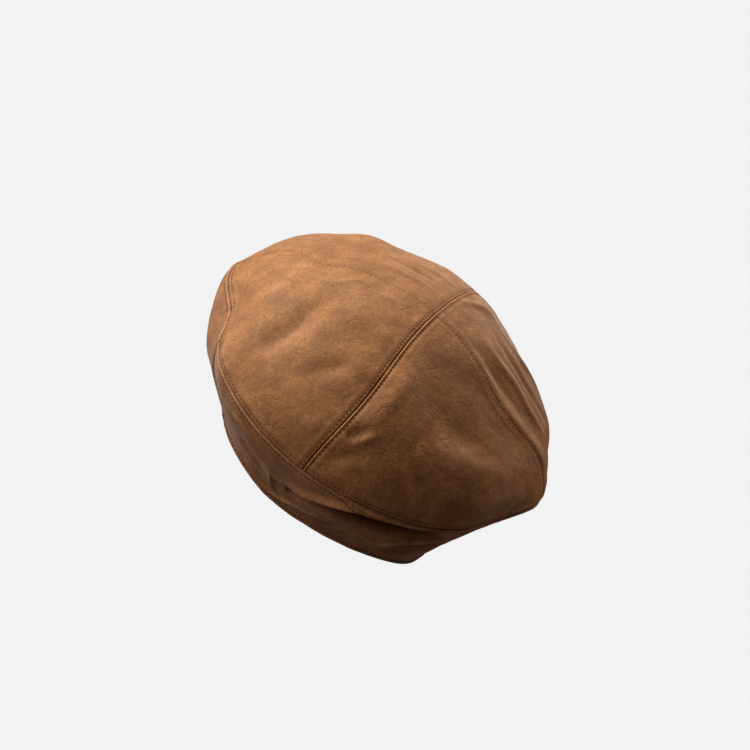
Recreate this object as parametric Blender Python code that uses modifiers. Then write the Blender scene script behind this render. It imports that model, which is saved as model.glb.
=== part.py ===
"""A soft leather cap: a four-panel crown over a deep side band, topstitched and lined.

The cap stands on its hem, with its opening underneath. Units are metres and +Z is up.
The front is at -Y. The main seam runs from front to back in the plane x = 0, and the
cross seam runs from side to side in the plane y = 0.
"""

from math import ceil, cos, hypot, pi, radians, sin

import bpy

# Overall sizes.
CROWN_RADIUS = 0.131
CROWN_RISE = 0.076
BAND_HEIGHT = 0.062
HEM_HALF_WIDTH = 0.0915
HEM_HALF_LENGTH = 0.103

# How steeply the side band leaves the rim and stands on the hem.
RIM_DROP = 0.020
HEM_STAND = 0.016

# Leather, lining and sweatband.
LEATHER = 0.0012
ALLOWANCE_WIDTH = 0.008
HEM_TURN = 0.012
LINING = 0.0006
LINING_END = 0.006
SWEATBAND = 0.001
SWEATBAND_HEIGHT = 0.026

# Clearances between pieces, and the overlap of layers that are joined.
SEAM_GAP = 0.0004
LAYER_GAP = 0.0006
LINING_SLACK = 0.0015
BLEND = 0.0001

# Topstitching. A row's distance is from its seam, and ROW_END keeps rows apart where they meet.
THREAD_RADIUS = 0.00035
THREAD_LIFT = 0.0008
MAIN_ROW = 0.003
CROSS_ROW = 0.002
RIM_ROW = 0.003
BAND_SEAM_ROW = 0.0025
HEM_ROW = 0.004
ROW_END = 0.0025

# The two side-band pieces meet at this angle, from the front towards +X, and opposite it.
BAND_SEAM = radians(-54.0)

# Steps along a quarter of the crown, all round the cap, and down the side band.
CROWN_STEPS = 9
ROUND_STEPS = 4 * CROWN_STEPS
BAND_STEPS = 7

# The crown starts this far from its axis, as an angle, so that its four corners just miss.
CROWN_START = 0.004

LEATHER_COLOUR = (0.30, 0.145, 0.065)
LINING_COLOUR = (0.055, 0.032, 0.022)
SWEATBAND_COLOUR = (0.11, 0.055, 0.028)
THREAD_COLOUR = (0.17, 0.080, 0.038)

SIDES = {"left": -1, "right": 1}
ENDS = {"front": -1, "back": 1}
QUARTER_TURNS = {(1, 1): 0, (-1, 1): 1, (-1, -1): 2, (1, -1): 3}


def new_collection(name):
    """A collection linked to the scene."""
    collection = bpy.data.collections.new(name)
    bpy.context.scene.collection.children.link(collection)
    return collection


def new_material(name, colour, roughness):
    """A plain Principled material."""
    material = bpy.data.materials.new(name)
    material.use_nodes = True
    shader = material.node_tree.nodes["Principled BSDF"]
    shader.inputs["Base Color"].default_value = (*colour, 1.0)
    shader.inputs["Roughness"].default_value = roughness
    shader.inputs["Metallic"].default_value = 0.0
    return material


def new_object(name, data, material, collection):
    """An object with one material, in a collection."""
    data.materials.append(material)
    piece = bpy.data.objects.new(name, data)
    collection.objects.link(piece)
    return piece


def hide(shape):
    """Marks a shape that only cuts or adds to another."""
    shape.hide_render = True
    shape.display_type = "WIRE"


def cutting_box(name, low, high, collection):
    """A box between two corners, to cut with."""
    bpy.ops.mesh.primitive_cube_add(size=1)
    cutter = bpy.context.object
    cutter.name = name
    cutter.location = [(a + b) / 2 for a, b in zip(low, high)]
    cutter.scale = [b - a for a, b in zip(low, high)]
    for holder in list(cutter.users_collection):
        holder.objects.unlink(cutter)
    collection.objects.link(cutter)
    hide(cutter)
    return cutter


def combine(piece, other, operation):
    """Cuts the other shape from the piece, or adds it."""
    modifier = piece.modifiers.new(operation.lower(), "BOOLEAN")
    modifier.operation = operation
    modifier.object = other
    modifier.solver = "EXACT"


# The crown is half an ellipsoid that stands on the side band.


def dome_point(angle, depth, turn):
    """A point of the dome a depth under its outer face: angle from the top, turn about Z."""
    radius = (CROWN_RADIUS - depth) * sin(angle)
    height = BAND_HEIGHT + (CROWN_RISE - depth) * cos(angle)
    return radius * cos(turn), radius * sin(turn), height


def dome_quarter(name, side, end, depth, thickness, clearance, material, collection):
    """A quarter of a dome layer, turned about Z, and held clear of the two seam planes."""
    span = pi / 2 - CROWN_START
    angles = [CROWN_START + span * k / CROWN_STEPS for k in range(CROWN_STEPS + 1)]
    mesh = bpy.data.meshes.new(name)
    points = [dome_point(angle, depth, 0) for angle in angles]
    mesh.from_pydata(points, [(k, k + 1) for k in range(CROWN_STEPS)], [])
    piece = new_object(name, mesh, material, collection)
    screw = piece.modifiers.new("turn", "SCREW")
    screw.angle = pi / 2
    screw.steps = CROWN_STEPS
    screw.render_steps = CROWN_STEPS
    solidify = piece.modifiers.new("thickness", "SOLIDIFY")
    solidify.thickness = thickness
    solidify.offset = -1
    solidify.use_even_offset = True
    piece.rotation_euler.z = QUARTER_TURNS[side, end] * pi / 2
    piece.location = (side * clearance, end * clearance, 0)
    return piece


def crown_panel(side_name, end_name, material, collection, tools):
    """A crown panel, with the allowance of its two long seams turned in underneath."""
    side, end = SIDES[side_name], ENDS[end_name]
    name = f"crown_panel_{end_name}_{side_name}"
    gap = SEAM_GAP / 2
    panel = dome_quarter(name, side, end, 0, LEATHER, gap, material, collection)
    depth = LEATHER - BLEND
    thickness = LEATHER + BLEND
    turned = dome_quarter(f"{name}_turned", side, end, depth, thickness, gap + BLEND, material, tools)
    hide(turned)
    reach = 2 * CROWN_RADIUS
    x_low, x_high = sorted((side * ALLOWANCE_WIDTH, side * reach))
    y_low, y_high = sorted((end * ALLOWANCE_WIDTH, end * reach))
    inside = cutting_box(f"{name}_inside", (x_low, y_low, -reach), (x_high, y_high, reach), tools)
    rim_top = BAND_HEIGHT + ALLOWANCE_WIDTH
    rim = cutting_box(f"{name}_rim", (-reach, -reach, -reach), (reach, reach, rim_top), tools)
    combine(turned, inside, "DIFFERENCE")
    combine(turned, rim, "DIFFERENCE")
    combine(panel, turned, "UNION")


# The side band is a loft from the crown's round rim down to the oval hem.


def band_section(drop):
    """Half width, half length and height of the band's outer face: 0 at the rim, 1 at the hem."""
    stay = 1 - drop
    weights = (stay**3, 3 * stay**2 * drop, 3 * stay * drop**2, drop**3)
    top = BAND_HEIGHT - SEAM_GAP
    widths = (CROWN_RADIUS, CROWN_RADIUS, HEM_HALF_WIDTH, HEM_HALF_WIDTH)
    lengths = (CROWN_RADIUS, CROWN_RADIUS, HEM_HALF_LENGTH, HEM_HALF_LENGTH)
    heights = (top, top - RIM_DROP, HEM_STAND, 0)
    return [sum(w * v for w, v in zip(weights, values)) for values in (widths, lengths, heights)]


def from_rim(distance):
    """The drop at a distance down the band from the rim."""
    return distance / (3 * RIM_DROP)


def from_hem(distance):
    """The drop at a distance up the band from the hem."""
    return 1 - distance / (3 * HEM_STAND)


def ring(step, depth):
    """The section at a step down the band, a depth under the outer face and square to it."""
    drop = step / BAND_STEPS
    width, length, height = band_section(drop)
    reach = 0.001
    above, below = band_section(max(drop - reach, 0)), band_section(min(drop + reach, 1))
    run_in = (above[0] - below[0] + above[1] - below[1]) / 2
    fall = above[2] - below[2]
    slant = hypot(run_in, fall)
    across, up = fall / slant, run_in / slant
    return width - depth * across, length - depth * across, height + depth * up


def layer(drop, depth):
    """The section at any drop, on the flat facets between the rings."""
    step = min(int(drop * BAND_STEPS), BAND_STEPS - 1)
    share = drop * BAND_STEPS - step
    above, below = ring(step, depth), ring(step + 1, depth)
    return [a + (b - a) * share for a, b in zip(above, below)]


def layers(first, last, depth):
    """The sections of a layer between two drops: its ends and each ring between them."""
    rings = [step / BAND_STEPS for step in range(BAND_STEPS + 1)]
    drops = [first] + [drop for drop in rings if first < drop < last] + [last]
    return [layer(drop, depth) for drop in drops]


def band_point(section, turn):
    """A point of a section, at an angle from the front towards +X."""
    width, length, height = section
    return width * sin(turn), -length * cos(turn), height


def band_shell(name, rings, start, sweep, material, collection):
    """A closed shell through rings of sections: part of the way round, or all of it."""
    whole = sweep == 2 * pi
    steps = ceil(ROUND_STEPS * sweep / (2 * pi))
    turns = [start + sweep * k / steps for k in range(steps if whole else steps + 1)]
    points = [band_point(ring, turn) for turn in turns for ring in rings]
    count = len(rings)
    faces = []
    for k in range(steps):
        here, there = k * count, (k + 1) % len(turns) * count
        for j in range(count):
            after = (j + 1) % count
            faces.append((here + j, here + after, there + after, there + j))
    if not whole:
        faces.append(tuple(range(count - 1, -1, -1)))
        faces.append(tuple(range(len(points) - count, len(points))))
    mesh = bpy.data.meshes.new(name)
    mesh.from_pydata(points, [], faces)
    new_object(name, mesh, material, collection)


def band_piece(name, start, material, collection):
    """Half the side band, with its hem turned up inside."""
    fold_top = from_hem(HEM_TURN)
    outer = layers(0, 1, 0)
    fold = layers(fold_top, 1, 2 * LEATHER)
    inner = layers(0, fold_top, LEATHER)
    clearance = 2 * SEAM_GAP / (HEM_HALF_WIDTH + HEM_HALF_LENGTH)
    rings = outer + fold[::-1] + inner[::-1]
    band_shell(name, rings, start + clearance / 2, pi - clearance, material, collection)


def side_lining(material, collection):
    """The lining of the side band, from the rim down behind the sweatband."""
    depth = 2 * LEATHER + LAYER_GAP
    last = from_hem(LINING_END)
    rings = layers(0, last, depth) + layers(0, last, depth + LINING)[::-1]
    band_shell("lining_side", rings, BAND_SEAM, 2 * pi, material, collection)


def head_band(material, collection):
    """The sweatband, upright inside the hem."""
    depth = 2 * LEATHER + LINING + 2 * LAYER_GAP
    width, length = HEM_HALF_WIDTH - depth, HEM_HALF_LENGTH - depth
    high = LAYER_GAP + SWEATBAND_HEIGHT
    rings = [
        (width, length, high),
        (width, length, LAYER_GAP),
        (width - SWEATBAND, length - SWEATBAND, LAYER_GAP),
        (width - SWEATBAND, length - SWEATBAND, high),
    ]
    band_shell("sweatband", rings, BAND_SEAM, 2 * pi, material, collection)


# Each row of topstitching is a thin thread just over the leather.


def thread(name, points, closed, material, collection):
    """A thin tube through the points."""
    curve = bpy.data.curves.new(name, "CURVE")
    curve.dimensions = "3D"
    curve.bevel_depth = THREAD_RADIUS
    curve.bevel_resolution = 1
    curve.use_fill_caps = True
    spline = curve.splines.new("POLY")
    spline.points.add(len(points) - 1)
    for knot, point in zip(spline.points, points):
        knot.co = (*point, 1)
    spline.use_cyclic_u = closed
    new_object(name, curve, material, collection)


def over_dome(x, y):
    """A point of a thread's path over the dome, from its place in plan."""
    share = hypot(x, y) / (CROWN_RADIUS + THREAD_LIFT)
    return x, y, BAND_HEIGHT + (CROWN_RISE + THREAD_LIFT) * (1 - share**2) ** 0.5


def crown_rows(material, collection):
    """A row on each side of the main seam, and of each half of the cross seam."""
    reach = CROWN_RADIUS * cos((RIM_ROW + ROW_END) / CROWN_RISE)
    near = MAIN_ROW + ROW_END
    quarter = [pi / 2 * k / CROWN_STEPS for k in range(CROWN_STEPS + 1)]
    half = [-angle for angle in reversed(quarter)] + quarter[1:]
    for side_name, side in SIDES.items():
        points = [over_dome(side * MAIN_ROW, reach * sin(angle)) for angle in half]
        thread(f"thread_main_{side_name}", points, False, material, collection)
        for end_name, end in ENDS.items():
            spans = [near + (reach - near) * sin(angle) for angle in quarter]
            points = [over_dome(side * span, end * CROSS_ROW) for span in spans]
            thread(f"thread_cross_{end_name}_{side_name}", points, False, material, collection)


def rim_rows(material, collection):
    """A row round the crown above the rim seam, and one round the side band below it."""
    angle = pi / 2 - RIM_ROW / CROWN_RISE
    steps = [2 * pi * k / ROUND_STEPS for k in range(ROUND_STEPS)]
    upper = [dome_point(angle, -THREAD_LIFT, step) for step in steps]
    thread("thread_rim_upper", upper, True, material, collection)
    section = layer(from_rim(RIM_ROW), -THREAD_LIFT)
    lower = [band_point(section, BAND_SEAM + step) for step in steps]
    thread("thread_rim_lower", lower, True, material, collection)


def hem_row(material, collection):
    """One row round the hem."""
    section = layer(from_hem(HEM_ROW), -THREAD_LIFT)
    steps = [2 * pi * k / ROUND_STEPS for k in range(ROUND_STEPS)]
    points = [band_point(section, BAND_SEAM + step) for step in steps]
    thread("thread_hem", points, True, material, collection)


def band_seam_rows(seam_name, seam, material, collection):
    """A row on each side of a seam of the side band."""
    sections = layers(from_rim(RIM_ROW + ROW_END), from_hem(HEM_ROW + ROW_END), -THREAD_LIFT)
    for side_name, side in SIDES.items():
        offsets = [2 * side * BAND_SEAM_ROW / (section[0] + section[1]) for section in sections]
        points = [band_point(section, seam + offset) for section, offset in zip(sections, offsets)]
        thread(f"thread_{seam_name}_{side_name}", points, False, material, collection)


def build():
    """Builds the cap."""
    for old in list(bpy.data.objects):
        bpy.data.objects.remove(old)
    cap = new_collection("leather_cap")
    tools = new_collection("tools")
    crown_leather = new_material("crown_leather", LEATHER_COLOUR, 0.82)
    band_leather = new_material("band_leather", LEATHER_COLOUR, 0.82)
    lining = new_material("lining", LINING_COLOUR, 0.9)
    sweatband = new_material("sweatband", SWEATBAND_COLOUR, 0.6)
    stitching = new_material("thread", THREAD_COLOUR, 0.7)

    depth = 2 * LEATHER + LINING_SLACK
    for side_name, side in SIDES.items():
        for end_name, end in ENDS.items():
            crown_panel(side_name, end_name, crown_leather, cap, tools)
            name = f"lining_crown_{end_name}_{side_name}"
            dome_quarter(name, side, end, depth, LINING, SEAM_GAP / 2, lining, cap)
    band_piece("side_band_right", BAND_SEAM, band_leather, cap)
    band_piece("side_band_left", BAND_SEAM + pi, band_leather, cap)
    side_lining(lining, cap)
    head_band(sweatband, cap)
    crown_rows(stitching, cap)
    rim_rows(stitching, cap)
    hem_row(stitching, cap)
    band_seam_rows("front_seam", BAND_SEAM, stitching, cap)
    band_seam_rows("back_seam", BAND_SEAM + pi, stitching, cap)


build()
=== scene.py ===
"""The looks of a soft brown leather cap: four crown panels, a slumped side band, stitching, lining.

The leather lies on the CAD model's own surfaces, a dome over a tapering band. The leather, the
stitches and the lining are then moved by the same slouch, drapes and crumple, so that they stay
together. The sweatband is moved by the slouch alone.
"""

from math import cos, pi, radians, sin, tau

import bpy
import numpy as np
from mathutils import Matrix, Vector, noise


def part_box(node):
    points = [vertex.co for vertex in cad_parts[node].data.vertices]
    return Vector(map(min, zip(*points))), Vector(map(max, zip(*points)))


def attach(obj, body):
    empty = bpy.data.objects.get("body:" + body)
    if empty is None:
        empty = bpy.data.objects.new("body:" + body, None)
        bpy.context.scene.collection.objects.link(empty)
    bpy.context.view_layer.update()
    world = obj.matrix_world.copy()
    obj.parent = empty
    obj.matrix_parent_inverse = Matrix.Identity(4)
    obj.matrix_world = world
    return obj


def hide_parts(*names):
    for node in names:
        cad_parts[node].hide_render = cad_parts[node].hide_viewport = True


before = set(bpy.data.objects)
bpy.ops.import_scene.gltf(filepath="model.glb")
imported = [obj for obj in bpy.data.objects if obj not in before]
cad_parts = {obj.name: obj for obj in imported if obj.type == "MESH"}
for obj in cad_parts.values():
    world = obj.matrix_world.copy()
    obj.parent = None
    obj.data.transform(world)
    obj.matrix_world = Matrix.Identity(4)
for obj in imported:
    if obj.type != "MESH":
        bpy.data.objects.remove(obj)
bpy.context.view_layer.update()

MM = 0.001

# Sizes read from the CAD model.
PANEL_LOW, PANEL_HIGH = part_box("crown_panel_back_right")
SWEATBAND_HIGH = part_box("sweatband")[1]
CROWN_RADIUS = PANEL_HIGH[0]
RIM_HEIGHT = PANEL_LOW[2]
CROWN_RISE = PANEL_HIGH[2] - RIM_HEIGHT
LAYERS_UNDER_HEM = 4.2 * MM
HEM_HALF_WIDTH = SWEATBAND_HIGH[0] + LAYERS_UNDER_HEM
HEM_HALF_LENGTH = SWEATBAND_HIGH[1] + LAYERS_UNDER_HEM
SWEATBAND_TOP = SWEATBAND_HIGH[2]

# The band's profile, and where its two pieces meet, as in the CAD model.
RIM_DROP = 20 * MM
HEM_STAND = 16 * MM
BAND_SEAM = radians(-54)

# Leather and stitches.
LEATHER = 1.1 * MM
LINING = 0.5 * MM
SWEATBAND = 0.9 * MM
SEAM_GAP = 0.25 * MM
HEM_FOLD = 1.3 * MM
HEM_TURN = 12 * MM
PITCH = 3.3 * MM
STITCH = 2.0 * MM
THREAD = 0.38 * MM
FINE_THREAD = 0.28 * MM

# How deep the linings lie under the leather's face.
CROWN_LINING_DEPTH = 3.9 * MM
SIDE_LINING_DEPTH = 3.4 * MM

# Mesh spacing near seams and in the open. TIP is how far the crown's first ring is from its top.
FINE = 0.55 * MM
COARSE = 1.3 * MM
MARGIN = 9 * MM
TIP = 0.05 * MM
LINING_FINE = 1.5 * MM
LINING_COARSE = 4 * MM


# Base surfaces. Azimuth is measured from the front, -Y, towards +X.


def around(azimuth):
    """The level direction of growing azimuth."""
    return np.stack([np.cos(azimuth), np.sin(azimuth), 0 * azimuth], -1)


def outward(azimuth):
    """The level direction out from the middle."""
    return np.stack([np.sin(azimuth), -np.cos(azimuth), 0 * azimuth], -1)


def dome(angle, azimuth, depth=0.0):
    """Points and normals of the crown, a depth under its face: angle from the top."""
    radius = (CROWN_RADIUS - depth) * np.sin(angle)
    points = radius[..., None] * outward(azimuth)
    points[..., 2] = RIM_HEIGHT + (CROWN_RISE - depth) * np.cos(angle)
    normals = np.sin(angle)[..., None] * outward(azimuth) / CROWN_RADIUS
    normals[..., 2] = np.cos(angle) / CROWN_RISE
    return points, normals / np.linalg.norm(normals, axis=-1, keepdims=True)


def band(azimuth, drop, depth=0.0):
    """Points and normals of the side band, a depth under its face: drop 0 at the rim, 1 at the hem."""
    stay = 1 - drop
    near_rim = stay**3 + 3 * stay**2 * drop
    near_hem = 1 - near_rim
    half_width = near_rim * CROWN_RADIUS + near_hem * HEM_HALF_WIDTH
    half_length = near_rim * CROWN_RADIUS + near_hem * HEM_HALF_LENGTH
    height = stay**3 * RIM_HEIGHT + 3 * stay**2 * drop * (RIM_HEIGHT - RIM_DROP)
    height = height + 3 * stay * drop**2 * HEM_STAND
    points = np.stack([half_width * np.sin(azimuth), -half_length * np.cos(azimuth), height], -1)
    mean_hem = (HEM_HALF_WIDTH + HEM_HALF_LENGTH) / 2
    run_in = 6 * stay * drop * (CROWN_RADIUS - mean_hem)
    fall = 3 * stay**2 * RIM_DROP + 6 * stay * drop * (RIM_HEIGHT - RIM_DROP - HEM_STAND)
    fall = fall + 3 * drop**2 * HEM_STAND
    normals = fall[..., None] * outward(azimuth)
    normals[..., 2] = -run_in
    normals = normals / np.linalg.norm(normals, axis=-1, keepdims=True)
    return points - depth * normals, normals


def on_dome(angle, azimuth):
    """A place on the crown, in degrees."""
    return dome(np.array(radians(angle)), np.array(radians(azimuth)))


def on_band(azimuth, drop):
    """A place on the side band: azimuth in degrees, drop from 0 to 1."""
    azimuth, drop = np.array(radians(azimuth)), np.array(float(drop))
    return band(azimuth, drop)[0], outward(azimuth)


# The slouch: soft pushes, each with a place, a reach, and moves out, round and up, in mm.
PUSHES = [
    (on_dome(50, 0), 42, 0, 8, 0),
    (on_dome(34, 48), 28, -8, 0, 0),
    (on_dome(90, -68), 22, -16, 0, 6),
    (on_band(-72, 0.4), 24, 19, 0, 0),
    (on_band(-92, 0.3), 20, 14, 0, 6),
    (on_band(-58, 0.9), 24, 4, 0, 0),
    (on_dome(78, -112), 28, 7, 0, 0),
    (on_dome(60, -96), 22, 3, 0, 0),
    (on_dome(42, -92), 15, 0, 8, 0),
    (on_dome(49, -124), 14, 0, 0, 5),
    (on_dome(50, 95), 38, 0, 0, -13),
    (on_dome(36, 80), 26, 0, -7, -3),
    (on_dome(60, 88), 24, 0, 12, 0),
    (on_dome(60, 145), 40, -4, 0, -11),
    (on_dome(85, 108), 36, -7, 0, 0),
    (on_dome(88, 90), 20, 8, 0, 3),
    (on_band(80, 0.45), 34, -12, 0, 0),
    (on_band(58, 0.85), 28, 15, 0, 0),
    (on_band(5, 1.0), 26, -2, 0, 0),
]

# Folds deeper than DEEP get painted shade inside. A fold deeper than RECESS, in mm, has steep sides.
DEEP = 3.5 * MM
RECESS = 10

# The slouch fades out over this height above the floor, so that the hem stays level.
LEVEL_HEIGHT = 14 * MM

# Drapes and dents: places along each, its half width, and how far it stands out and sags, in mm.
# Many places began as points read off the photo by a scratch script, as report.md says.
DRAPES = [
    # The back right panel's long folds, down from the top.
    (
        [on_dome(18, 128), on_dome(24, 115), on_dome(36, 112), on_dome(46, 108), on_dome(64, 108)],
        4.4,
        2.2,
        0,
    ),
    ([on_dome(15, 106), on_dome(22, 101), on_dome(34, 101), on_dome(46, 99)], 4.5, -1.5, 0),
    ([on_dome(26, 140), on_dome(36, 126), on_dome(48, 121), on_dome(62, 118)], 4.0, -2.0, 0),
    ([on_dome(34, 156), on_dome(40, 141), on_dome(50, 137), on_dome(62, 130)], 4.2, 1.7, 0),
    ([on_dome(16, 174), on_dome(28, 166), on_dome(36, 160)], 4.0, 1.8, 0),
    # The back left panel's slack wrinkles, near the main seam.
    ([on_dome(28, -112), on_dome(22, -115), on_dome(15, -132), on_dome(10, -170)], 3.2, 1.1, 0),
    ([on_dome(31, -122), on_dome(26, -128), on_dome(20, -145), on_dome(17, -172)], 3.0, -1.2, 0),
    ([on_dome(34, -134), on_dome(30, -142), on_dome(26, -159), on_dome(24, -176)], 3.0, 1.2, 0),
    # The left panels' streak, ridge and dents.
    (
        [on_dome(67, -39), on_dome(60, -38), on_dome(50, -41), on_dome(43, -46), on_dome(33, -56)],
        8.0,
        -4.0,
        0,
    ),
    ([on_dome(66, -58), on_dome(54, -62), on_dome(46, -70)], 8.0, 1.3, 0),
    ([on_dome(43, -93), on_dome(37, -87), on_dome(32, -80), on_dome(29, -74)], 7.5, -3.0, 0),
    ([on_dome(60, -112), on_dome(52, -110), on_dome(42, -106), on_dome(36, -100)], 4.5, -3.4, 0),
    ([on_dome(56, -22), on_dome(47, -18), on_dome(40, -14)], 6.5, -1.8, 0),
    # The main seam lies low, with a ridge and puckers to its right.
    ([on_dome(16, 34), on_dome(30, 14), on_dome(45, 9), on_dome(60, 7)], 9.0, 1.4, 0),
    ([on_dome(6, -10), on_dome(28, -2), on_dome(44, -1), on_dome(66, -1)], 9.0, -1.6, 0),
    ([on_dome(63, 3), on_dome(60, 6), on_dome(55, 8)], 4.5, -1.8, 0),
    ([on_dome(65, 7), on_dome(60, 10), on_dome(56, 13)], 3.2, 1.0, 0),
    ([on_dome(79, 4), on_dome(71, 8), on_dome(66, 14)], 5.5, -1.8, 0),
    # The front right panel's hollow and the puff under it.
    (
        [on_dome(38, 34), on_dome(42, 46), on_dome(48, 60), on_dome(54, 70), on_dome(62, 77)],
        13.0,
        -2.3,
        0,
    ),
    ([on_dome(76, 28), on_dome(75, 46), on_dome(74, 62), on_dome(77, 79)], 10.0, 2.5, 0),
    # The right cross seam lies on a low ridge.
    ([on_dome(16, 88), on_dome(34, 92), on_dome(52, 93), on_dome(70, 94)], 9.0, 2.0, 0),
    # The side band's folds: a strip that hangs over a deep recess, and the folds below it.
    (
        [on_band(-40, 0.3), on_band(-25, 0.18), on_band(-15, 0.28), on_band(-8, 0.35), on_band(0, 0.42)],
        1.6,
        2.0,
        1,
    ),
    (
        [on_band(-6, 0.38), on_band(4, 0.30), on_band(16, 0.10), on_band(28, 0.04), on_band(48, 0.02)],
        2.1,
        3.0,
        2.2,
    ),
    (
        [on_band(-4, 0.56), on_band(8, 0.43), on_band(20, 0.31), on_band(34, 0.23), on_band(54, 0.16)],
        7.0,
        -15,
        0,
    ),
    ([on_band(-28, 0.5), on_band(-20, 0.52), on_band(-13, 0.6)], 5.0, -2.5, 0),
    (
        [on_band(-34, 0.8), on_band(-20, 0.77), on_band(-9, 0.84), on_band(4, 0.71), on_band(20, 0.6)],
        1.6,
        2.8,
        0,
    ),
    (
        [on_band(8, 0.68), on_band(28, 0.58), on_band(36, 0.56), on_band(41, 0.36), on_band(50, 0.2)],
        1.7,
        3.2,
        0,
    ),
    ([on_band(-10, 0.4), on_band(-9, 0.68), on_band(-5, 0.8)], 1.9, 1.8, 0),
    ([on_band(40, 0.8), on_band(48, 0.55), on_band(60, 0.4)], 6.0, -7.0, 0),
]


def slouch(points):
    """How far the soft pushes move each point."""
    moved = np.zeros_like(points)
    for (place, normal), reach, out, turn, up in PUSHES:
        azimuth = np.arctan2(place[0], -place[1])
        move = out * normal + turn * around(azimuth) + np.array([0.0, 0.0, up])
        apart = ((points - place) ** 2).sum(-1)
        moved += MM * move * np.exp(-apart / (2 * (reach * MM) ** 2))[..., None]
    return moved


PATH_STEPS = 28


def smooth_path(places):
    """Points along a smooth line, a Catmull-Rom spline, through a few places."""
    corners = np.array([place for place, normal in places])
    ends = np.concatenate([[2 * corners[0] - corners[1]], corners, [2 * corners[-1] - corners[-2]]])
    path = []
    for k in range(len(corners) - 1):
        a, b, c, d = ends[k : k + 4]
        for t in np.linspace(0, 1, PATH_STEPS // (len(corners) - 1), endpoint=False):
            bend = (2 * a - 5 * b + 4 * c - d) * t**2 + (3 * b - a - 3 * c + d) * t**3
            path.append(b + ((c - a) * t + bend) / 2)
    return np.array(path + [corners[-1]])


def drapes(points):
    """How far the drapes and dents stand out, and how far they sag, at each point."""
    height, drop = np.zeros(points.shape[:-1]), np.zeros(points.shape[:-1])
    for places, half_width, rise, sag in DRAPES:
        path = smooth_path(places)
        apart = np.full(points.shape[:-1], np.inf)
        along = np.zeros(points.shape[:-1])
        for k in range(len(path) - 1):
            run = path[k + 1] - path[k]
            share = np.clip((points - path[k]) @ run / (run @ run), 0, 1)
            gap = ((points - path[k] - share[..., None] * run) ** 2).sum(-1)
            nearer = gap < apart
            apart = np.where(nearer, gap, apart)
            along = np.where(nearer, (k + share) / (len(path) - 1), along)
        fade = np.sin(pi * np.clip(along, 0.01, 0.99)) ** 0.7
        steep = 2 if rise < -RECESS else 1
        share = MM * fade * np.exp(-((apart / (half_width * MM) ** 2) ** steep))
        height += rise * share
        drop += sag * share
    return height, drop


def crumple(points):
    """The height of the leather's own soft unevenness at each point."""
    waves = ((26 * MM, 1.1 * MM, 0.0), (11 * MM, 0.35 * MM, 3.7), (5 * MM, 0.10 * MM, 9.1))
    flat = points.reshape(-1, 3)
    height = np.zeros(len(flat))
    for length, rise, offset in waves:
        shift = Vector((offset, offset, offset))
        height += [rise * noise.noise(Vector(point) / length + shift) for point in flat]
    return height.reshape(points.shape[:-1])


def settled(points, normals, relief=0.0):
    """Points moved to where the slouched leather lies, and a tone for each.

    The tone is how raised a point is, in mm, with the broad folds and waves counted less, deep folds
    counted lower for painted shade and ridges higher for a painted highlight.
    """
    (folds, sag), waves = drapes(points), crumple(points)
    moved = points + normals * (folds + waves + relief)[..., None] + slouch(points)
    moved[..., 2] -= sag
    lift = np.clip(points[..., 2] / LEVEL_HEIGHT, 0, 1)
    moved[..., 2] = points[..., 2] + (moved[..., 2] - points[..., 2]) * lift
    # Extra tone, low inside deep folds for painted shade and high on ridges for a painted highlight.
    deep = np.minimum(folds + DEEP, 0)
    proud = np.maximum(folds, 0)
    return moved, (0.15 * folds + 0.3 * deep + 0.1 * proud + 0.5 * waves + relief) / MM


# Seams: the leather dips into a seam, rises beside it and is drawn down along each row.


def seam_relief(distance, row, depth, reach=1.3, ridge=0.0):
    """The height of the leather at a distance from a seam with a row of stitches beside it.

    The row's distance, the dip's depth and reach and the ridge's height are in mm.
    """
    apart = np.abs(distance) / MM
    dip = -depth * np.exp(-((apart / reach) ** 2))
    rise = ridge * np.exp(-(((apart - 1.0) / 0.55) ** 2))
    channel = -0.2 * np.exp(-(((apart - row) / 0.6) ** 2))
    pillow = 0.25 * np.exp(-(((apart - row - 2.8) / 1.9) ** 2))
    return MM * (dip + rise + channel + pillow)


# How far each row of stitches lies from its seam or edge, in mm.
MAIN_ROW = 2.7
CROSS_ROW = 2.0
RIM_ROW = 3.4
BAND_SEAM_ROW = 2.5
HEM_ROW = 3.5

# The leather dips no lower than this at a seam.
LOWEST_DIP = -1.5 * MM

# Where rows end: short of the rim, beside the main row, and, as a share of the band's drop, short
# of the rim's and the hem's rows.
RIM_CLEARANCE = 5.5 * MM
MAIN_ROW_CLEARANCE = 2.5 * MM
BAND_ROW_CLEARANCE = 0.05


def meridian():
    """Angles from the crown's top, and how far down the leather each lies."""
    angles = np.linspace(0, pi / 2, 2000)
    speeds = np.hypot(CROWN_RADIUS * np.cos(angles), CROWN_RISE * np.sin(angles))
    steps = (speeds[1:] + speeds[:-1]) / 2 * np.diff(angles)
    return angles, np.concatenate([[0], np.cumsum(steps)])


MERIDIAN_ANGLES, MERIDIAN_LENGTHS = meridian()
PANEL_LENGTH = MERIDIAN_LENGTHS[-1]


def stations(length, margin, fine, coarse):
    """Places along a length, close together within the margin at each end."""
    edge = np.arange(0, margin, fine)
    middle = np.linspace(margin, length - margin, round((length - 2 * margin) / coarse))
    return np.concatenate([edge, middle, (length - edge)[::-1]])


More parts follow.
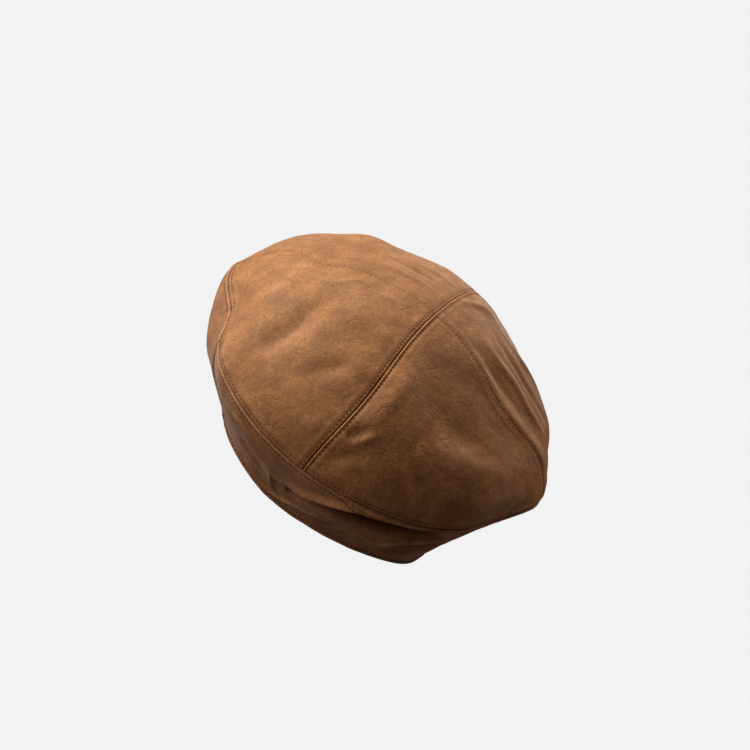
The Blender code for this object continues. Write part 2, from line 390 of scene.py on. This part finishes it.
def crown_grid(turn, depth=0.0, fine=FINE, coarse=COARSE, seam_gap=SEAM_GAP):
    """A quarter of the crown, from an azimuth on: points, normals, and distances to the rim."""
    down = np.maximum(stations(PANEL_LENGTH, MARGIN, fine, coarse), TIP)
    angles = np.interp(down, MERIDIAN_LENGTHS, MERIDIAN_ANGLES)
    edge_steps = round(MARGIN / fine)
    middle_steps = round((CROWN_RADIUS * pi / 2 - 2 * MARGIN) / coarse)
    edge = np.arange(edge_steps) / edge_steps
    middle = np.linspace(0, 1, middle_steps)
    azimuths = []
    for angle in angles:
        radius = CROWN_RADIUS * sin(angle)
        span = radius * pi / 2
        margin = min(MARGIN, 0.4 * span)
        places = np.concatenate(
            [edge * margin, margin + middle * (span - 2 * margin), span - edge[::-1] * margin]
        )
        gap = min(seam_gap, 0.2 * span)
        azimuths.append(turn + (gap / 2 + places * (1 - gap / span)) / radius)
    azimuths = np.array(azimuths)
    angles = np.broadcast_to(angles[:, None], azimuths.shape)
    points, normals = dome(angles, azimuths, depth)
    to_rim = PANEL_LENGTH - np.broadcast_to(down[:, None], azimuths.shape)
    return points, normals, to_rim


def band_grid(start, drops):
    """Half of the side band, from an azimuth on: points, normals, distances to its seams, drops."""
    gap = SEAM_GAP / CROWN_RADIUS
    places = stations(pi * CROWN_RADIUS, MARGIN, FINE, COARSE) / CROWN_RADIUS
    azimuths = start + gap / 2 + places * (1 - gap / pi)
    azimuths, drops = np.meshgrid(azimuths, drops)
    points, normals = band(azimuths, drops)
    radius = np.hypot(points[..., 0], points[..., 1])
    to_seam = np.minimum(azimuths - start, start + pi - azimuths) * radius
    return points, normals, to_seam, drops


def band_lengths():
    """Drops down the side band, and how far down the leather each lies."""
    drops = np.linspace(0, 1, 800)
    points, normals = band(np.zeros_like(drops), drops)
    steps = np.linalg.norm(np.diff(points, axis=0), axis=-1)
    return drops, np.concatenate([[0], np.cumsum(steps)])


BAND_DROPS, BAND_LENGTHS = band_lengths()
BAND_LENGTH = BAND_LENGTHS[-1]


# Meshes.


def grid_faces(rows, columns, wrap=False):
    """The faces of a grid whose rows go down and columns go round."""
    last = columns if wrap else columns - 1
    down, across = np.meshgrid(np.arange(rows - 1), np.arange(last), indexing="ij")
    after = (across + 1) % columns
    corners = [down * columns + across, (down + 1) * columns + across]
    corners += [(down + 1) * columns + after, down * columns + after]
    return np.stack(corners, -1).reshape(-1, 4)


def new_piece(name, points, faces, material, node, tone=None):
    """A mesh piece that stands for a CAD node. Its tone says how raised each point is."""
    mesh = bpy.data.meshes.new(name)
    mesh.from_pydata(points.reshape(-1, 3).tolist(), [], [tuple(face) for face in faces])
    if tone is not None:
        raised = mesh.attributes.new("raised", "FLOAT", "POINT")
        raised.data.foreach_set("value", tone.reshape(-1).astype(np.float32))
    mesh.materials.append(material)
    mesh.shade_smooth()
    piece = bpy.data.objects.new(name, mesh)
    bpy.context.scene.collection.objects.link(piece)
    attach(piece, "root")
    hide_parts(node)
    return piece


def thicken(piece, thickness):
    """Gives a sheet its thickness, on its inner side."""
    solidify = piece.modifiers.new("thickness", "SOLIDIFY")
    solidify.thickness = thickness
    solidify.offset = -1


QUARTERS = {"front_right": 0.0, "back_right": pi / 2, "back_left": pi, "front_left": -pi / 2}


def crown_panels(leather):
    """The four crown panels. The main seam's edges and rows are flatter at the back."""
    for name, turn in QUARTERS.items():
        points, normals, to_rim = crown_grid(turn)
        slack = 0.6 if name.startswith("back") else 1.0
        if name.endswith("right"):
            relief = slack * seam_relief(points[..., 0], MAIN_ROW, 0.4, 0.5, 0.7)
            relief = relief + 0.8 * seam_relief(points[..., 1], CROSS_ROW, 0.5, 0.6)
        else:
            relief = slack * seam_relief(points[..., 0], MAIN_ROW, 1.0, 0.8)
            relief = relief + 0.3 * seam_relief(points[..., 1], CROSS_ROW, 0.35, 0.7)
        relief = relief + seam_relief(to_rim, RIM_ROW, 0.8, 0.8)
        relief = np.maximum(relief, LOWEST_DIP)
        moved, raised = settled(points, normals, relief)
        faces = grid_faces(*moved.shape[:2])
        panel = new_piece(
            f"crown_{name}", moved, faces, leather, f"crown_panel_{name}", raised
        )
        thicken(panel, LEATHER)


def band_pieces(leather):
    """The two halves of the side band, each turned up inside at the hem."""
    down = stations(BAND_LENGTH, MARGIN, FINE, FINE * 1.5)
    drops = np.interp(down, BAND_LENGTHS, BAND_DROPS)
    for name, start in (("right", BAND_SEAM), ("left", BAND_SEAM + pi)):
        points, normals, to_seam, drop_grid = band_grid(start, drops)
        from_rim = np.interp(drop_grid, BAND_DROPS, BAND_LENGTHS)
        to_hem = BAND_LENGTH - from_rim
        relief = seam_relief(from_rim, RIM_ROW, 0.8, 0.6, 1.0)
        relief = relief + seam_relief(to_seam, BAND_SEAM_ROW, 0.8, 0.8)
        hem_row = np.exp(-(((to_hem / MM - HEM_ROW) / 0.7) ** 2))
        relief = np.maximum(relief - 0.35 * MM * hem_row, LOWEST_DIP)
        points[..., 2] += HEM_FOLD * drop_grid**4
        moved, raised = settled(points, normals, relief)
        hem, level = moved[-1], outward(np.arctan2(points[-1, :, 0], -points[-1, :, 1]))
        fold, tones = [], []
        for turn in np.linspace(0, pi, 7)[1:]:
            ring = hem - level * HEM_FOLD * (1 - cos(turn))
            ring[:, 2] = hem[:, 2] - HEM_FOLD * sin(turn)
            fold.append(ring)
            tones.append(raised[-1])
        inner_edge = fold[-1]
        for rise in np.linspace(0, HEM_TURN, 8)[1:]:
            ring = inner_edge.copy()
            ring[:, 2] += rise
            fold.append(ring)
            tones.append(raised[-1])
        moved = np.concatenate([moved, np.array(fold)])
        raised = np.concatenate([raised, np.array(tones)])
        faces = grid_faces(*moved.shape[:2])
        piece = new_piece(
            f"band_{name}", moved, faces, leather, f"side_band_{name}", raised
        )
        thicken(piece, LEATHER)


# Stitches: each is a short arch of thread whose ends dive into the leather.

# The height of a stitch and the share of its thickness, from end to end.
STITCH_PROFILE = np.array([-0.75, -0.05, 0.14, 0.18, 0.14, -0.05, -0.75]) * MM
STITCH_THICKNESS = np.array([0.5, 0.85, 1.0, 1.0, 1.0, 0.85, 0.5])
STITCH_SINK = 0.28 * MM
STITCH_SIDES = 6


def row_lengths(surface):
    """Shares of a row from 0 to 1, and how far along the row each lies."""
    shares = np.linspace(0, 1, 1600)
    points, normals = surface(shares)
    lengths = np.linalg.norm(np.diff(points, axis=0), axis=-1)
    return shares, np.concatenate([[0], np.cumsum(lengths)])


def stitch_row(name, surface, thread, closed=False, width=THREAD):
    """A row of stitches along a line on the leather. Its surface gives points and normals."""
    shares, lengths = row_lengths(surface)
    count = int(lengths[-1] / PITCH)
    pitch = lengths[-1] / count
    starts = np.arange(count) * pitch + (0 if closed else (pitch - STITCH) / 2)
    steps = np.linspace(0, 1, len(STITCH_PROFILE))
    places = starts[:, None] + steps[None, :] * STITCH
    share = np.interp(places, lengths, shares)
    points, normals = surface(share)
    rise = np.broadcast_to(STITCH_PROFILE, share.shape) - STITCH_SINK
    centres = settled(points, normals, rise)[0]
    tangents = np.gradient(centres, axis=1)
    tangents /= np.linalg.norm(tangents, axis=-1, keepdims=True)
    across = np.cross(normals, tangents)
    across /= np.linalg.norm(across, axis=-1, keepdims=True)
    over = np.cross(tangents, across)
    thick = width * STITCH_THICKNESS[None, :, None]
    rings = []
    for k in range(STITCH_SIDES):
        turn = tau * k / STITCH_SIDES
        rings.append(centres + thick * (across * cos(turn) + over * sin(turn)))
    points = np.stack(rings, 2)
    one = grid_faces(len(STITCH_PROFILE), STITCH_SIDES, wrap=True)[:, ::-1]
    size = len(STITCH_PROFILE) * STITCH_SIDES
    faces = [face + size * k for k in range(count) for face in one]
    for k in range(count):
        faces.append(size * k + np.arange(STITCH_SIDES))
        faces.append(size * k + size - 1 - np.arange(STITCH_SIDES))
    new_piece(f"stitches_{name}", points, faces, thread, f"thread_{name}")


def on_crown(x, y):
    """Points and normals of the crown over places in plan."""
    share = np.hypot(x, y) / CROWN_RADIUS
    return dome(np.arcsin(np.clip(share, 0, 1)), np.arctan2(x, -y))


def stitching(thread, faint_thread):
    """All the rows of stitches. The cross rows are fainter, but for the front right one."""
    reach = CROWN_RADIUS * cos(RIM_CLEARANCE / CROWN_RISE)
    main, cross = MAIN_ROW * MM, CROSS_ROW * MM
    sides = {"left": -1, "right": 1}
    for side_name, side in sides.items():
        stitch_row(
            f"main_{side_name}",
            lambda t: on_crown(side * main + 0 * t, reach * np.sin((2 * t - 1) * pi / 2)),
            thread,
        )
        for end_name, end in (("front", -1), ("back", 1)):
            near = main + MAIN_ROW_CLEARANCE
            stitch_row(
                f"cross_{end_name}_{side_name}",
                lambda t: on_crown(
                    side * (near + (reach - near) * np.sin(t * pi / 2)), end * cross + 0 * t
                ),
                thread if (end_name, side_name) == ("front", "right") else faint_thread,
                width=FINE_THREAD,
            )
    row_angle = np.interp(PANEL_LENGTH - RIM_ROW * MM, MERIDIAN_LENGTHS, MERIDIAN_ANGLES)
    stitch_row("rim_upper", lambda t: dome(row_angle + 0 * t, tau * t), thread, True)
    row_drop = np.interp(RIM_ROW * MM, BAND_LENGTHS, BAND_DROPS)
    stitch_row("rim_lower", lambda t: band(tau * t, row_drop + 0 * t), thread, True)
    hem_drop = np.interp(BAND_LENGTH - HEM_ROW * MM, BAND_LENGTHS, BAND_DROPS)
    stitch_row("hem", lambda t: band(tau * t, hem_drop + 0 * t), thread, True)
    for seam_name, seam in (("front_seam", BAND_SEAM), ("back_seam", BAND_SEAM + pi)):
        for side_name, side in sides.items():

            def beside(t):
                run = hem_drop - row_drop - 2 * BAND_ROW_CLEARANCE
                drop = row_drop + BAND_ROW_CLEARANCE + run * t
                radius = np.hypot(*np.moveaxis(band(seam + 0 * t, drop)[0], -1, 0)[:2])
                return band(seam + side * BAND_SEAM_ROW * MM / radius, drop)

            stitch_row(f"{seam_name}_{side_name}", beside, thread)


def linings(cloth):
    """The crown's lining in quarters, and the side lining."""
    for name, turn in QUARTERS.items():
        points, normals, _ = crown_grid(turn, CROWN_LINING_DEPTH, LINING_FINE, LINING_COARSE, 0.0)
        dip = seam_relief(points[..., 0], 1.0, 0.8) + seam_relief(points[..., 1], 1.0, 0.8)
        moved, raised = settled(points, normals, np.minimum(-dip, 0.8 * MM))
        node = f"lining_crown_{name}"
        piece = new_piece(node, moved, grid_faces(*moved.shape[:2]), cloth, node, raised)
        thicken(piece, LINING)
    drops = np.interp(np.linspace(0, BAND_LENGTH - 7 * MM, 30), BAND_LENGTHS, BAND_DROPS)
    azimuths, drops = np.meshgrid(np.linspace(0, tau, 240, endpoint=False), drops)
    points, normals = band(azimuths, drops, SIDE_LINING_DEPTH)
    moved, raised = settled(points, normals)
    faces = grid_faces(*moved.shape[:2], wrap=True)
    thicken(new_piece("lining_side", moved, faces, cloth, "lining_side", raised), LINING)


def sweatband_piece(leather):
    """The sweatband: an upright strip inside the hem, its top edge a little wavy."""
    azimuths = np.linspace(0, tau, 300, endpoint=False)
    heights = np.linspace(0.8 * MM, SWEATBAND_TOP, 20)
    azimuths, heights = np.meshgrid(azimuths, heights)
    lean = 1.5 * MM * (heights / SWEATBAND_TOP) ** 2
    half_width, half_length = SWEATBAND_HIGH[0] - lean, SWEATBAND_HIGH[1] - lean
    points = np.stack([half_width * np.sin(azimuths), -half_length * np.cos(azimuths), heights], -1)
    shift = slouch(band(azimuths, 1 - 0.5 * heights / SWEATBAND_TOP)[0])
    shift[..., 2] = 0.6 * MM * np.sin(7 * azimuths) * heights / SWEATBAND_TOP
    moved = points + shift
    faces = grid_faces(*moved.shape[:2], wrap=True)[:, ::-1]
    piece = new_piece("sweatband_strip", moved, faces, leather, "sweatband", 0 * heights)
    thicken(piece, SWEATBAND)


# Materials.


class Nodes:
    """A small helper that adds nodes to a material and links them."""

    def __init__(self, name):
        self.material = bpy.data.materials.new(name)
        self.material.use_nodes = True
        self.tree = self.material.node_tree
        self.shader = self.tree.nodes["Principled BSDF"]

    def add(self, kind, inputs=None, **settings):
        """A new node, with its inputs linked or set."""
        node = self.tree.nodes.new(kind)
        for key, value in settings.items():
            setattr(node, key, value)
        for key, value in (inputs or {}).items():
            if isinstance(value, bpy.types.NodeSocket):
                self.tree.links.new(value, node.inputs[key])
            else:
                node.inputs[key].default_value = value
        return node

    def link(self, value, name):
        """Feeds an input of the shader."""
        self.tree.links.new(value, self.shader.inputs[name])

    def mix(self, share, first, second):
        """The first colour, going over to the second as the share goes from 0 to 1."""
        node = self.add("ShaderNodeMix", data_type="RGBA")
        for socket, value in ((node.inputs[0], share), (node.inputs[6], first), (node.inputs[7], second)):
            if isinstance(value, bpy.types.NodeSocket):
                self.tree.links.new(value, socket)
            else:
                socket.default_value = value
        return node.outputs[2]

    def span(self, value, low, high, to_low=0.0, to_high=1.0):
        """A value's range from low to high, spread over another range."""
        node = self.add("ShaderNodeMapRange", {0: value, 1: low, 2: high, 3: to_low, 4: to_high})
        return node.outputs[0]

    def wander(self, place, scale, amount):
        """The place, moved about by noise."""
        drift = self.add("ShaderNodeTexNoise", {"Vector": place, "Scale": scale, "Detail": 2.0})
        scaled = self.add("ShaderNodeVectorMath", {0: drift.outputs["Color"]}, operation="SCALE")
        scaled.inputs["Scale"].default_value = amount
        moved = self.add("ShaderNodeVectorMath", {0: place, 1: scaled.outputs[0]}, operation="ADD")
        return moved.outputs[0]

    def noise(self, place, scale, detail, rough=0.55):
        """Cloudy noise, from 0 to 1."""
        node = self.add("ShaderNodeTexNoise", {"Vector": place, "Scale": scale, "Detail": detail})
        node.inputs["Roughness"].default_value = rough
        return node.outputs["Fac"]


# Paler colour for the leather's ridges: partly rubbed wear, partly a painted highlight.
RUBBED_AND_HIGHLIGHT = (0.58, 0.32, 0.17)
# Near-black painted shade for the deepest recesses.
PIT = (0.008, 0.003, 0.0015)


def nubuck(name, light, middle, dark, sheen):
    """Matt brown nubuck: mottled, finely creased, paler on its ridges, partly rubbed and partly a painted
    highlight, and with painted shade in its folds.
    """
    nodes = Nodes(name)
    place = nodes.add("ShaderNodeTexCoord").outputs["Object"]
    raised = nodes.add("ShaderNodeAttribute", attribute_name="raised").outputs["Fac"]
    cloud = nodes.span(nodes.noise(place, 22, 4), 0.36, 0.66)
    patch = nodes.span(nodes.noise(place, 75, 5, 0.62), 0.38, 0.64)
    speck = nodes.span(nodes.noise(place, 560, 4, 0.8), 0.38, 0.62)
    colour = nodes.mix(cloud, (*middle, 1), (*light, 1))
    shade = nodes.span(patch, 0, 1, 0.55, 0.0)
    colour = nodes.mix(shade, colour, (*dark, 1))
    # Raised places go paler: partly rubbed wear, partly a painted highlight.
    rub_and_highlight = nodes.span(raised, 0.3, 0.9, 0.0, 0.7)
    colour = nodes.mix(rub_and_highlight, colour, (*RUBBED_AND_HIGHLIGHT, 1))
    # Painted shade: the leather darkens in its hollows and seam dips.
    hollow = nodes.span(raised, -0.5, -1.4, 0.0, 0.7)
    colour = nodes.mix(hollow, colour, (*[c * 0.55 for c in dark], 1))
    # Painted shade: the deepest recesses go near black.
    pit = nodes.span(raised, -1.3, -2.2, 0.0, 0.95)
    colour = nodes.mix(pit, colour, (*PIT, 1))
    grain = nodes.span(speck, 0, 1, 0.62, 0.0)
    colour = nodes.mix(grain, colour, (*dark, 1))
    slanted = nodes.add("ShaderNodeMapping", {"Vector": place}, vector_type="TEXTURE")
    slanted.inputs["Rotation"].default_value = (0, 0, radians(50))
    slanted.inputs["Scale"].default_value = (2.4, 0.9, 1.2)
    creases = nodes.add(
        "ShaderNodeTexVoronoi",
        {"Vector": nodes.wander(slanted.outputs[0], 85, 0.016), "Scale": 66.0},
        feature="DISTANCE_TO_EDGE",
    )
    crack = nodes.span(creases.outputs["Distance"], 0.0, 0.045, 1.0, 0.0)
    worn = nodes.span(nodes.noise(place, 40, 4, 0.6), 0.54, 0.62)
    line = nodes.add("ShaderNodeMath", {0: crack, 1: worn}, operation="MULTIPLY").outputs[0]
    colour = nodes.mix(nodes.span(line, 0, 1, 0.0, 0.6), colour, (*dark, 1))
    nodes.link(colour, "Base Color")
    rough = nodes.span(patch, 0, 1, 0.72, 0.88)
    nodes.link(rough, "Roughness")
    nodes.shader.inputs["Specular IOR Level"].default_value = 0.25
    nodes.link(nodes.span(raised, -0.9, -0.3, 0.0, sheen), "Sheen Weight")
    nodes.shader.inputs["Sheen Roughness"].default_value = 0.35
    nodes.shader.inputs["Sheen Tint"].default_value = (1.0, 0.88, 0.8, 1)
    fine = nodes.noise(place, 700, 3, 0.7)
    soft = nodes.noise(place, 260, 4, 0.6)
    fine_bump = nodes.add("ShaderNodeBump", {"Height": fine, "Strength": 0.4, "Distance": 0.0005})
    soft_bump = nodes.add(
        "ShaderNodeBump",
        {"Height": soft, "Strength": 0.5, "Distance": 0.0009, "Normal": fine_bump.outputs[0]},
    )
    crack_bump = nodes.add(
        "ShaderNodeBump",
        {"Height": line, "Strength": 0.5, "Distance": -0.0004, "Normal": soft_bump.outputs[0]},
    )
    nodes.link(crack_bump.outputs[0], "Normal")
    return nodes.material


def thread_material(name, dark, light):
    """Brown sewing thread, with its twist as a fine bump."""
    nodes = Nodes(name)
    place = nodes.add("ShaderNodeTexCoord").outputs["Object"]
    tone = nodes.noise(place, 500, 2)
    colour = nodes.mix(tone, (*dark, 1), (*light, 1))
    nodes.link(colour, "Base Color")
    twist = nodes.noise(place, 2600, 1)
    bump = nodes.add("ShaderNodeBump", {"Height": twist, "Strength": 0.4, "Distance": 0.0002})
    nodes.link(bump.outputs[0], "Normal")
    nodes.shader.inputs["Roughness"].default_value = 0.8
    nodes.shader.inputs["Specular IOR Level"].default_value = 0.1
    return nodes.material


def lining_material():
    """Dark brown twill."""
    nodes = Nodes("lining")
    place = nodes.add("ShaderNodeTexCoord").outputs["Object"]
    weave = nodes.add("ShaderNodeTexWave", {"Vector": place, "Scale": 420.0}, bands_direction="DIAGONAL")
    cloud = nodes.noise(place, 60, 3)
    colour = nodes.mix(cloud, (0.040, 0.022, 0.014, 1), (0.075, 0.044, 0.028, 1))
    lit = nodes.span(weave.outputs["Fac"], 0, 1, 0.0, 0.35)
    colour = nodes.mix(lit, colour, (0.11, 0.07, 0.045, 1))
    nodes.link(colour, "Base Color")
    bump = nodes.add(
        "ShaderNodeBump", {"Height": weave.outputs["Fac"], "Strength": 0.4, "Distance": 0.0002}
    )
    nodes.link(bump.outputs[0], "Normal")
    nodes.shader.inputs["Roughness"].default_value = 0.75
    nodes.shader.inputs["Sheen Weight"].default_value = 0.2
    return nodes.material


def sweatband_material():
    """Smooth dark brown leather."""
    nodes = Nodes("sweatband_leather")
    place = nodes.add("ShaderNodeTexCoord").outputs["Object"]
    cloud = nodes.noise(place, 40, 4)
    colour = nodes.mix(cloud, (0.070, 0.032, 0.015, 1), (0.13, 0.063, 0.03, 1))
    nodes.link(colour, "Base Color")
    grain = nodes.add("ShaderNodeTexVoronoi", {"Vector": place, "Scale": 900.0})
    bump = nodes.add(
        "ShaderNodeBump", {"Height": grain.outputs["Distance"], "Strength": 0.3, "Distance": 0.0002}
    )
    nodes.link(bump.outputs[0], "Normal")
    nodes.link(nodes.span(cloud, 0, 1, 0.42, 0.6), "Roughness")
    return nodes.material


# Stage, light and camera.

BACKDROP = 0.888
AROUND = (0.1, 0.068, 0.046)
FLOOR_GLOW = (0.155, 0.118, 0.1)


def shown_grey(tree, shown, lit):
    """A grey as the camera sees it, that lights the cap with another colour."""
    path = tree.nodes.new("ShaderNodeLightPath")
    mix = tree.nodes.new("ShaderNodeMix")
    mix.data_type = "RGBA"
    tree.links.new(path.outputs["Is Camera Ray"], mix.inputs[0])
    mix.inputs[6].default_value = (*lit, 1)
    mix.inputs[7].default_value = (shown, shown, shown, 1)
    return mix.outputs[2]


def stage():
    """A plain pale floor and surroundings."""
    bpy.ops.mesh.primitive_plane_add(size=30, location=(0, 0, -0.0005))
    floor = bpy.context.object
    floor.name = "floor"
    material = bpy.data.materials.new("backdrop")
    material.use_nodes = True
    tree = material.node_tree
    tree.nodes.clear()
    glow = tree.nodes.new("ShaderNodeEmission")
    tree.links.new(shown_grey(tree, BACKDROP, FLOOR_GLOW), glow.inputs["Color"])
    output = tree.nodes.new("ShaderNodeOutputMaterial")
    tree.links.new(glow.outputs[0], output.inputs["Surface"])
    floor.data.materials.append(material)
    world = bpy.data.worlds.new("surroundings")
    world.use_nodes = True
    background = world.node_tree.nodes["Background"]
    world.node_tree.links.new(
        shown_grey(world.node_tree, BACKDROP, AROUND), background.inputs["Color"]
    )
    bpy.context.scene.world = world


def aim(thing, target):
    """Turns a light or camera to face a target."""
    thing.rotation_euler = (target - thing.location).to_track_quat("-Z", "Y").to_euler()


def direction(azimuth, elevation):
    """The unit vector towards an azimuth and elevation in degrees."""
    level = cos(radians(elevation))
    turn = radians(azimuth)
    return Vector((sin(turn) * level, -cos(turn) * level, sin(radians(elevation))))


def lamp(name, azimuth, elevation, distance, size, power, colour):
    """An area light that faces the cap. Its angles are in degrees and its power in watts."""
    data = bpy.data.lights.new(name, "AREA")
    data.size = size
    data.energy = power
    data.color = colour
    light = bpy.data.objects.new(name, data)
    bpy.context.scene.collection.objects.link(light)
    light.location = MIDDLE + direction(azimuth, elevation) * distance
    aim(light, MIDDLE)


CAMERA_AZIMUTH = 11
CAMERA_ELEVATION = 35
CAMERA_ROLL = 31
CAMERA_DISTANCE = 2.0
VIEW_WIDTH = 0.525
SHIFT_X = -0.0147
SHIFT_Y = 0.0267
SENSOR = 36
MIDDLE = Vector((0, 0, 0.058))


def camera():
    """A long lens, leaning so that the cap tilts in the picture."""
    data = bpy.data.cameras.new("camera")
    data.sensor_width = SENSOR
    data.lens = SENSOR * CAMERA_DISTANCE / VIEW_WIDTH
    data.shift_x = SHIFT_X
    data.shift_y = SHIFT_Y
    view = bpy.data.objects.new("camera", data)
    bpy.context.scene.collection.objects.link(view)
    view.location = MIDDLE + direction(CAMERA_AZIMUTH, CAMERA_ELEVATION) * CAMERA_DISTANCE
    facing = (MIDDLE - view.location).to_track_quat("-Z", "Y").to_matrix().to_4x4()
    roll = Matrix.Rotation(radians(CAMERA_ROLL), 4, "Z")
    view.rotation_euler = (facing @ roll).to_euler()
    bpy.context.scene.camera = view


bpy.context.scene.view_settings.view_transform = "Standard"
stage()
camera()
lamp("key", -106, 30, 1.6, 0.8, 39, (1.0, 0.97, 0.93))
lamp("fill", -56, 21, 1.8, 0.8, 16, (1.0, 0.93, 0.85))
lamp("edge", 160, 26, 1.8, 0.8, 17, (1.0, 0.82, 0.66))

crown_leather = nubuck(
    "crown_nubuck", (0.48, 0.236, 0.097), (0.365, 0.164, 0.057), (0.162, 0.063, 0.019), 0.25
)
band_leather = nubuck("band_nubuck", (0.41, 0.20, 0.092), (0.31, 0.14, 0.056), (0.14, 0.055, 0.02), 0.22)
thread = thread_material("thread", (0.055, 0.019, 0.006), (0.12, 0.044, 0.015))
faint_thread = thread_material("faint_thread", (0.15, 0.062, 0.022), (0.26, 0.115, 0.042))
crown_panels(crown_leather)
band_pieces(band_leather)
stitching(thread, faint_thread)
linings(lining_material())
sweatband_piece(sweatband_material())
